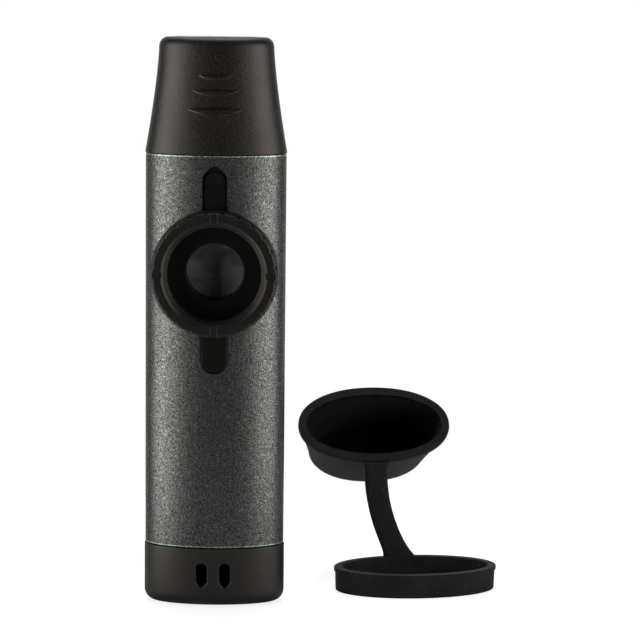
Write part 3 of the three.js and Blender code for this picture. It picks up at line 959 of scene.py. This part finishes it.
class WHISTLE_OT_turret_base(bpy.types.Operator):
    """Make the saddle collar, stepped barrel and tongues of the turret base"""

    bl_idname = "whistle.turret_base"
    bl_label = "Turret Base"

    def execute(self, context):
        edge, clearance = 0.25 * MM, 0.12 * MM
        undercut, undercut_tall = 0.4 * MM, 0.3 * MM
        angles = around(256)
        collar, barrel, neck = 13.3 * MM, 12 * MM, 10.3 * MM
        seat_bore, bore, neck_bore, shelf_bore = 12.1 * MM, 11.3 * MM, 9.6 * MM, 7.6 * MM
        face, seat_floor, shelf, neck_top = 8.4 * MM, 7.4 * MM, 3.5 * MM, 2.8 * MM
        inner_end, inner_floor = -3.45 * MM, -2.85 * MM

        def level(radius, out):
            return radius, np.full_like(angles, out)

        def seated(radius, lift):
            return radius, saddle(radius, angles, clearance) + lift

        rows = [
            level(shelf_bore, inner_end),
            level(neck, inner_end),
            level(neck, neck_top),
            level(barrel, neck_top),
            seated(barrel, 0),
            seated(collar - undercut, 0),
            seated(collar - undercut, undercut_tall),
            seated(collar, undercut_tall),
            level(collar, face - edge),
            level(collar - 0.3 * edge, face - 0.3 * edge),
            level(collar - edge, face),
            level(seat_bore, face),
            level(seat_bore, seat_floor),
            level(bore, seat_floor),
            level(bore, shelf),
            level(neck_bore, shelf),
            level(neck_bore, inner_floor),
            level(shelf_bore, inner_floor),
        ]
        grid = [
            np.stack([radius * np.cos(angles), -out, TURRET_Z + radius * np.sin(angles)], -1)
            for radius, out in rows
        ]
        sheets = [
            sheet(np.array(grid), True, True),
            # The tongues wear the dark plastic, a darker copy of the turret's plastic: painted shade down in
            # their slots.
            sheet(tongue(20.95 * MM, 6.45 * MM, 2.36 * MM, 0.1 * MM, 1), wrap_columns=True, material=1),
            sheet(tongue(20.93 * MM, 6.95 * MM, 2.73 * MM, 0.2 * MM, -1), wrap_columns=True, material=1),
        ]
        slots = ["turret_plastic", "dark_plastic"]
        base = add_piece("turret_saddle", sheets, slots, "whistle", ["turret_base"], sharp=30)
        return {"FINISHED"}


def notch_angles(radius, half_width):
    """Angles of a quarter of the ring at each radius, from the middle of one notch to the middle of the next.

    Near a notch the columns keep a fixed distance from its middle line, so its walls are parallel; between
    two notches they share out the rest of the quarter evenly.
    """
    near = np.array([0, 0.45, 0.8, 0.88, 0.93, 0.97, 1.0, 1.03, 1.07, 1.12, 1.2, 1.4]) * half_width
    columns_between = 200
    lead = np.arcsin(near / radius[:, None])
    start = lead[:, -1:]
    share = np.linspace(0, 1, columns_between)[None, 1:-1]
    between = start + (math.pi / 2 - 2 * start) * share
    return np.concatenate([lead, between, math.pi / 2 - lead[:, :0:-1]], 1)


class WHISTLE_OT_screw_ring(bpy.types.Operator):
    """Make the screw ring with its stepped chamfer, grip grooves and four notches"""

    bl_idname = "whistle.screw_ring"
    bl_label = "Screw Ring"

    def execute(self, context):
        outer, face, back = RING_RADIUS, RING_FACE, 8.7 * MM
        bore, spigot, spigot_end = 9.8 * MM, 11.0 * MM, 5.9 * MM
        chamfer_steps = [(10.95, 0), (10.5, 0.45), (10.25, 0.45), (10.25, 0.95), (10.02, 0.95), (10.02, 1.5)]
        profile = [
            (bore, spigot_end),
            (spigot, spigot_end),
            (spigot, back),
            (outer, back),
            (outer, face - 0.4 * MM),
            (outer - 0.3 * MM, face),
            *((r * MM, face - drop * MM) for r, drop in chamfer_steps),
            (bore, face - 1.55 * MM),
        ]
        radii = np.array([0.15, 0.15, 0.1, 0.25, 0.2, 0.2, 0.15, 0.1, 0.12, 0.08, 0.1, 0.06, 0.06]) * MM
        profile = soften(profile, radii, steps=4, closed=True)
        radius, out = profile[:, 0], profile[:, 1]
        half_notch, notch_drop = 0.68 * MM, 0.13 * MM
        half_groove, groove_run, groove_fade = 0.42 * MM, 0.7 * MM, 0.5 * MM
        quarter_turn = notch_angles(radius, half_notch)[:, :-1]
        angles = np.concatenate([quarter_turn + k * math.pi / 2 for k in range(4)], 1)
        pitch = TAU / shape().grooves
        from_groove = np.abs((angles / pitch) % 1 - 0.5) * pitch * outer
        dent = np.clip(1 - (from_groove / half_groove) ** 2, 0, 1) ** 0.5
        rim_share = np.clip((radius - (outer - groove_run)) / groove_fade, 0, 1)[:, None]
        depth = shape().groove_depth * dent * rim_share
        from_notch = (angles + math.pi / 4) % (math.pi / 2) - math.pi / 4
        sideways = np.abs(np.sin(2 * from_notch) / 2) * radius[:, None]
        step = np.clip((1.1 * half_notch - sideways) / (0.18 * half_notch), 0, 1)
        in_notch = step * step * (3 - 2 * step)
        lowered = np.minimum(out, face - notch_drop)[:, None]
        height = out[:, None] + (lowered - out[:, None]) * in_notch
        turned = radius[:, None] - depth
        grid = np.stack([turned * np.cos(angles), -height, TURRET_Z + turned * np.sin(angles)], -1)
        sheets = [sheet(grid, True, True)]
        ring = add_piece("grip_ring", sheets, ["ring_plastic"], "screw_ring", ["screw_ring"], sharp=30)
        return {"FINISHED"}


class WHISTLE_OT_membrane(bpy.types.Operator):
    """Make the pressing insert and the membrane, and finish the pieces hidden round them"""

    bl_idname = "whistle.membrane"
    bl_label = "Membrane and Insert"

    def execute(self, context):
        angles = around(192)
        end, back, flange = FILM_FACE + 0.3 * MM, 3.8 * MM, 4.7 * MM
        sleeve, rim = 7.4 * MM, 11.0 * MM
        profile = [
            (WELL_RADIUS, end),
            (sleeve, end),
            (sleeve, back),
            (rim, back),
            (rim, flange),
            (WELL_RADIUS, flange),
        ]
        insert = turned_grid(soften(profile, 0.12 * MM, closed=True), angles)
        sheets = [sheet(insert, True, True)]
        piece = add_piece("press_insert", sheets, ["dark_plastic"], "presser", ["clamp_insert"])
        self.film(angles)
        for node, slot in (
            ("slip_washer", "ring_plastic"),
            ("ring_o_ring", "rubber"),
            ("membrane_hoop", "bare_aluminium"),
            ("seat_gasket", "rubber"),
            ("base_clip", "spring_steel"),
            ("mouthpiece_seal", "rubber"),
            ("end_cap_seal", "rubber"),
        ):
            wear(node, slot)
        return {"FINISHED"}

    def film(self, angles):
        """The film's height is a sum of three slow waves that fade out towards its rim."""
        radius, thickness = half_size("membrane").x, 0.2 * MM
        rings = np.linspace(0, radius, 40)[:, None]
        x, z = rings * np.cos(angles), rings * np.sin(angles)
        fade = np.clip(1 - (rings / radius) ** 4, 0, 1)
        wave = np.sin(x * 640 + z * 410 + 0.6) + np.sin(z * 880 - x * 230 + 2.1)
        wave += 0.7 * np.sin(x * 1150 + 4.0)
        swell = shape().film_wrinkle * (wave / 2 - 1) * fade
        front = np.stack([x, -(FILM_FACE + swell), TURRET_Z + z], -1)
        back = np.stack([x, -(FILM_FACE + swell - thickness), TURRET_Z + z], -1)
        grid = np.concatenate([back, front[::-1]])
        piece = add_piece("film", [sheet(grid, wrap_columns=True)], ["film"], "whistle", ["membrane"])


def wear(node, slot):
    """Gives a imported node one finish."""
    mesh = frame["nodes"][node].data
    mesh.materials.clear()
    mesh.materials.append(finish(slot))


# ---------------------------------------------------------------------------
# Dust cap set
# ---------------------------------------------------------------------------


def into_set(points):
    """Turns points of the cap set's own frame by its yaw and moves them to its place."""
    turn = np.array(Matrix.Rotation(SET_YAW, 3, "Z"))
    return points @ turn.T + np.array(SET_CENTRE)


class WHISTLE_OT_keeper_ring(bpy.types.Operator):
    """Make the low oval keeper ring with its lip"""

    bl_idname = "whistle.keeper_ring"
    bl_label = "Keeper Ring"

    def execute(self, context):
        wide, deep, wall, draft = 17.55 * MM, 9.5 * MM, 1.6 * MM, 0.15 * MM
        lip, lip_tall = 0.25 * MM, 0.9 * MM
        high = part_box("keeper_ring")[1].z
        profile = [
            (wide - wall, deep - wall, 0),
            (wide - draft, deep - draft, 0),
            (wide, deep, high - lip_tall),
            (wide + lip, deep + lip, high - lip_tall),
            (wide + lip, deep + lip, high),
            (wide - wall, deep - wall, high),
        ]
        radii = np.array([0.2, 0.3, 0.12, 0.25, 0.3, 0.35]) * MM
        rounded = soften(profile, radii, steps=5, closed=True)
        grid = into_set(oval_grid(rounded, around(shape().sides)))
        ring = add_piece("keeper_hoop", [sheet(grid, True, True)], ["rubber"], "keeper", ["keeper_ring"])
        return {"FINISHED"}


STRAP = {
    "base": (-2.2 * MM, 8.9 * MM),
    "half_thickness": 0.8 * MM,
    "lean": math.radians(5),
    "sweep": 5.1 * MM,
    "power": 2.1,
    "base_half_width": 2.9 * MM,
    "top_half_width": 2.5 * MM,
    "drawn_length": 18.9 * MM,
}


def strap_grid(first, last, rows=36, columns=48):
    """A stretch of the strap: flat slices with rounded corners, stacked up the strap's height.

    The middle of a slice moves sideways by sweep * (1 - (1 - share) ** power), its half width falls fast and
    then slowly from base to top, with a small flare at either end, and its outline is a superellipse of the
    sixth power.
    """
    s = STRAP
    share = np.linspace(first, last, rows)[:, None]
    angle = around(columns)
    power = 2 / 6
    flat_x = np.sign(np.cos(angle)) * np.abs(np.cos(angle)) ** power
    flat_y = np.sign(np.sin(angle)) * np.abs(np.sin(angle)) ** power
    clipped = np.clip(share, 0, 1)
    middle = s["base"][0] - s["sweep"] * (1 - (1 - clipped) ** s["power"])
    narrowing = s["base_half_width"] - s["top_half_width"]
    half = s["top_half_width"] + narrowing * (1 - clipped) ** 2.5
    flare = 0.5 * MM * (np.exp(-np.clip(share, 0, None) * 14) + np.exp((share - 1.085) * 30))
    up = share * s["drawn_length"]
    x = middle + (half + flare) * flat_x
    y = s["base"][1] + np.sin(s["lean"]) * up + (s["half_thickness"] + 0.4 * flare) * flat_y
    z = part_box("keeper_ring")[1].z + 0.3 * MM + np.cos(s["lean"]) * up
    body = np.stack([x, y, np.broadcast_to(z, x.shape)], -1)
    ends = [body[i].mean(0, keepdims=True).repeat(columns, 0)[None] for i in (0, -1)]
    return into_set(np.concatenate([ends[0], body, ends[1]]))


class WHISTLE_OT_strap(bpy.types.Operator):
    """Make the rubber strap in two stretches, from its foot to its middle and from its middle to its head"""

    bl_idname = "whistle.strap"
    bl_label = "Strap"

    def execute(self, context):
        foot, head = (Vector(joint(name)["pos_m"]) for name in ("strap_bend", "cap_flip"))
        foot_bend, head_bend = Vector((0, 0, 7 * MM)), Vector((0, 0, 6 * MM))
        stretches = (
            ("strap_foot", -0.025, 0.5, "strap_lower", "keeper", "strap", foot, foot + foot_bend),
            ("strap_head", 0.5, 1.085, "strap_upper", "strap", "cap", head - head_bend, head),
        )
        for name, first, last, node, low_body, high_body, start, end in stretches:
            stretch = add_piece(name, [sheet(strap_grid(first, last), wrap_columns=True)], ["rubber"])
            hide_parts(node)
            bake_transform(stretch)
        return {"FINISHED"}


class WHISTLE_OT_dust_cap(bpy.types.Operator):
    """Make the deep rubber dust cap with its flat rim"""

    bl_idname = "whistle.dust_cap"
    bl_label = "Dust Cap"

    def execute(self, context):
        rim_size, mouth = (16.9 * MM, 9.1 * MM), (14.8 * MM, 6.9 * MM)
        depth, wall, rim_tall, bottom_round = 17.7 * MM, 1.4 * MM, 1.3 * MM, 4.5 * MM
        taper = (2.9 * MM, 0.7 * MM)
        sine, cosine = quarter(12)

        def bottom(drawn_in):
            radius = bottom_round - drawn_in
            wide = mouth[0] + wall - taper[0] - drawn_in - radius * (1 - sine)
            deep = mouth[1] + wall - taper[1] - drawn_in - 0.8 * radius * (1 - sine)
            return np.stack([wide, deep, drawn_in - depth + radius * (1 - cosine)], -1)

        outside = bottom(0)
        inside = bottom(wall)[::-1]
        rim_profile = [
            tuple(outside[-1]),
            (mouth[0] + wall, mouth[1] + wall, -rim_tall),
            (*rim_size, -rim_tall),
            (*rim_size, 0),
            (mouth[0], mouth[1], 0),
            tuple(inside[0]),
        ]
        radii = np.array([0, 0.5, 0.35, 0.35, 0.45, 0]) * MM
        steps = 5
        rim = soften(rim_profile, radii, steps)
        turn_in = len(rim) - steps - 3  # the inside starts on the mouth's own rounded corner
        outside = np.vstack([[(0, 0, -depth)], outside[:-1], rim[:turn_in + 1]])
        inside = np.vstack([rim[turn_in:], inside[1:], [(0, 0, wall - depth)]])
        tilt = np.array(Matrix.Rotation(math.radians(54.5), 3, "X"))
        centre = np.array((-7 * MM, 15.8 * MM, 33.5 * MM))
        corner_power = 2.12
        grids = (oval_grid(part, around(shape().sides), corner_power) for part in (outside, inside))
        # The outside wears the rubber and the inside its darker copy, which is painted shade in the cup.
        sheets = [
            sheet(into_set(grid @ tilt.T + centre), False, True, material)
            for material, grid in enumerate(grids)
        ]
        cap = add_piece("cap_cup", sheets, ["rubber", "rubber_inside"], "cap", ["dust_cap"])
        return {"FINISHED"}


# ---------------------------------------------------------------------------
# Stage
# ---------------------------------------------------------------------------


def area_light(name, place, aim, size, power):
    """A soft rectangular light that looks at a point."""
    data = bpy.data.lights.new(name, "AREA")
    data.shape = "RECTANGLE"
    data.size, data.size_y = size
    data.energy = power
    light = bpy.data.objects.new(name, data)
    light.location = place
    light.rotation_euler = (Vector(aim) - Vector(place)).to_track_quat("-Z", "Y").to_euler()
    bpy.context.scene.collection.objects.link(light)


class WHISTLE_OT_stage(bpy.types.Operator):
    """Make the floor, the lights, the world and the camera"""

    bl_idname = "whistle.stage"
    bl_label = "Stage"

    def execute(self, context):
        settings = context.scene.whistle_studio
        self.floor()
        self.world(settings)
        aim = (0, 0, 0.06)
        distance, height, azimuth = 0.6, -0.06, math.radians(60)
        for name, side, power in (
            ("left_softbox", -1, settings.left_power),
            ("right_softbox", 1, settings.right_power),
        ):
            place = (side * distance * math.sin(azimuth), -distance * math.cos(azimuth), height)
            area_light(name, place, aim, (0.42, 1.1), power)
        area_light("top_softbox", (0.0, 0.15, 0.7), aim, (0.4, 0.4), settings.top_power)
        self.camera(settings)
        context.scene.view_settings.view_transform = "Standard"
        return {"FINISHED"}

    def floor(self):
        """A round flat sheet just under the feet of the whistle and the cap set."""
        centre, radius, drop = (0.02, 0.01), 0.1, 0.02 * MM
        rings = np.linspace(0, radius, 3)[:, None]
        angles = around(64)
        x, y = centre[0] + rings * np.cos(angles), centre[1] + rings * np.sin(angles)
        grid = np.stack([x, y, np.full_like(x, -drop)], -1)
        add_piece("floor", [sheet(grid, wrap_columns=True)], ["floor"])

    def world(self, settings):
        """White behind the object to the camera, and a bright backdrop in a dim room to the object."""
        world = bpy.data.worlds.new("studio")
        world.use_nodes = True
        room = Nodes(world.node_tree)
        background = room.tree.nodes["Background"]
        direction = room.node("ShaderNodeTexCoord", output="Generated")
        depth = room.node("ShaderNodeSeparateXYZ", {}, {"Vector": direction}, "Y")
        behind = depth.above(0.25, 0.6)
        reflected = settings.surround + (settings.backdrop - settings.surround) * behind
        level = room.mix_numbers(room.seen_by_camera(), reflected, 1.0)
        room.join(background.inputs["Color"], (1, 1, 1))
        room.join(background.inputs["Strength"], level)
        bpy.context.scene.world = world

    def camera(self, settings):
        """A long lens at the view's height, aimed between the whistle and its cap set, with a slight roll."""
        aim = Vector((22.01 * MM, 0, 60.51 * MM))
        rise = settings.camera_height
        ahead = Vector((0, math.cos(rise), -math.sin(rise)))
        right = Vector((1, 0, 0))
        up = right.cross(ahead)
        roll = settings.camera_roll
        right, up = (
            math.cos(roll) * right + math.sin(roll) * up,
            math.cos(roll) * up - math.sin(roll) * right,
        )
        data = bpy.data.cameras.new("camera")
        data.lens = settings.lens
        data.clip_start = 0.01
        camera = bpy.data.objects.new("camera", data)
        place = aim - settings.camera_distance * ahead
        axes = Matrix((right, up, -ahead)).transposed().to_4x4()
        camera.matrix_world = Matrix.Translation(place) @ axes
        bpy.context.scene.collection.objects.link(camera)
        bpy.context.scene.camera = camera


# ---------------------------------------------------------------------------
# Panel and registration
# ---------------------------------------------------------------------------

PIECE_OPERATORS = (
    WHISTLE_OT_tube,
    WHISTLE_OT_mouthpiece,
    WHISTLE_OT_end_cap,
    WHISTLE_OT_turret_base,
    WHISTLE_OT_screw_ring,
    WHISTLE_OT_membrane,
    WHISTLE_OT_keeper_ring,
    WHISTLE_OT_strap,
    WHISTLE_OT_dust_cap,
    WHISTLE_OT_stage,
)


class WHISTLE_PT_panel(bpy.types.Panel):
    """Lists the pieces and their settings"""

    bl_label = "Membrane Whistle"
    bl_space_type = "VIEW_3D"
    bl_region_type = "UI"
    bl_category = "Whistle"

    def draw(self, context):
        for operator in PIECE_OPERATORS:
            self.layout.operator(operator.bl_idname)
        for group in ("whistle_shape", "whistle_colours", "whistle_studio"):
            settings = getattr(context.scene, group)
            for name in settings.__annotations__:
                self.layout.prop(settings, name)


SETTINGS = {"whistle_shape": WhistleShape, "whistle_colours": WhistleColours, "whistle_studio": WhistleStudio}
CLASSES = (*SETTINGS.values(), *PIECE_OPERATORS, WHISTLE_PT_panel)


def register():
    for cls in CLASSES:
        bpy.utils.register_class(cls)
    for name, group in SETTINGS.items():
        setattr(bpy.types.Scene, name, PointerProperty(type=group))


def unregister():
    for name in SETTINGS:
        delattr(bpy.types.Scene, name)
    for cls in reversed(CLASSES):
        bpy.utils.unregister_class(cls)


def main():
    register()
    for operator in PIECE_OPERATORS:
        group, name = operator.bl_idname.split(".")
        result = getattr(getattr(bpy.ops, group), name)()
        if result != {"FINISHED"}:
            raise RuntimeError(f"{operator.bl_idname} did not finish")


if __name__ == "__main__":
    main()
